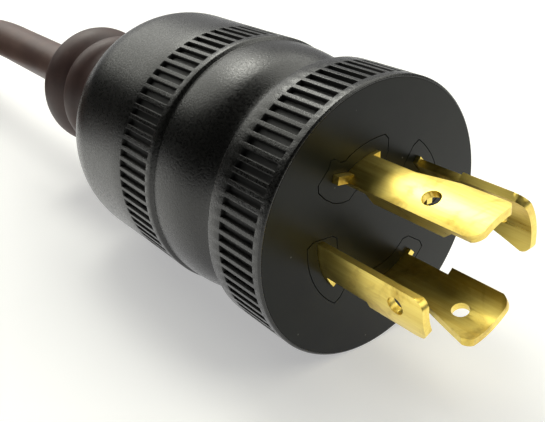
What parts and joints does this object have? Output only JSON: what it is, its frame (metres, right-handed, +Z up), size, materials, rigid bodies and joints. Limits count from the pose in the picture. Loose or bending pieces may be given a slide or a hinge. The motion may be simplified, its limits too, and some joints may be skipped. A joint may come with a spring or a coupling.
{
  "type": "locking power plug",
  "caption": "Round moulded locking plug with curved brass blades, two ribbed grip bands and a ringed strain relief on a coiled power cord.",
  "frame": {"origin": "centre of the mating face, in the plane that the blades stand out of", "axes": "+X out of the mating face along the plug's axis and its blades, +Z up with the plug lying on its side, +Y to the right seen from the front; the cord leaves towards -X"},
  "size_m": [0.3499, 0.1638, 0.055],
  "materials": {
    "black_pvc": "spark-eroded matte moulding",
    "face_nylon": "smooth satin moulding",
    "brass": "stamped, lightly tarnished",
    "inner_mould": "natural moulding",
    "wire_green": "smooth insulation",
    "wire_black": "smooth insulation",
    "wire_white": "smooth insulation",
    "wire_red": "smooth insulation",
    "copper": "bare stranded copper",
    "relief_pvc": "smooth satin moulding",
    "cord_pvc": "smooth extruded jacket",
    "tie_strap": "woven hook-and-loop strap"
  },
  "bodies": {
    "root": {"body_overmould": "black_pvc", "face_insulator": "face_nylon", "insert_ground": "face_nylon", "insert_hot_x": "face_nylon", "insert_neutral": "face_nylon", "insert_hot_y": "face_nylon", "blade_ground": "brass", "blade_hot_x": "brass", "blade_neutral": "brass", "blade_hot_y": "brass", "inner_mould": "inner_mould", "conductor_ground": "wire_green", "conductor_hot_x": "wire_black", "conductor_neutral": "wire_white", "conductor_hot_y": "wire_red", "strands_ground": "copper", "strands_hot_x": "copper", "strands_neutral": "copper", "strands_hot_y": "copper", "strain_relief": "relief_pvc", "cord_root": "cord_pvc", "cord_run": "cord_pvc", "cord_coil": "cord_pvc", "coil_tie": "tie_strap", "cord_end": "cord_pvc", "tail_ground": "wire_green", "tail_hot_x": "wire_black", "tail_neutral": "wire_white", "tail_hot_y": "wire_red", "bare_end_ground": "copper", "bare_end_hot_x": "copper", "bare_end_neutral": "copper", "bare_end_hot_y": "copper"}
  },
  "joints": []
}
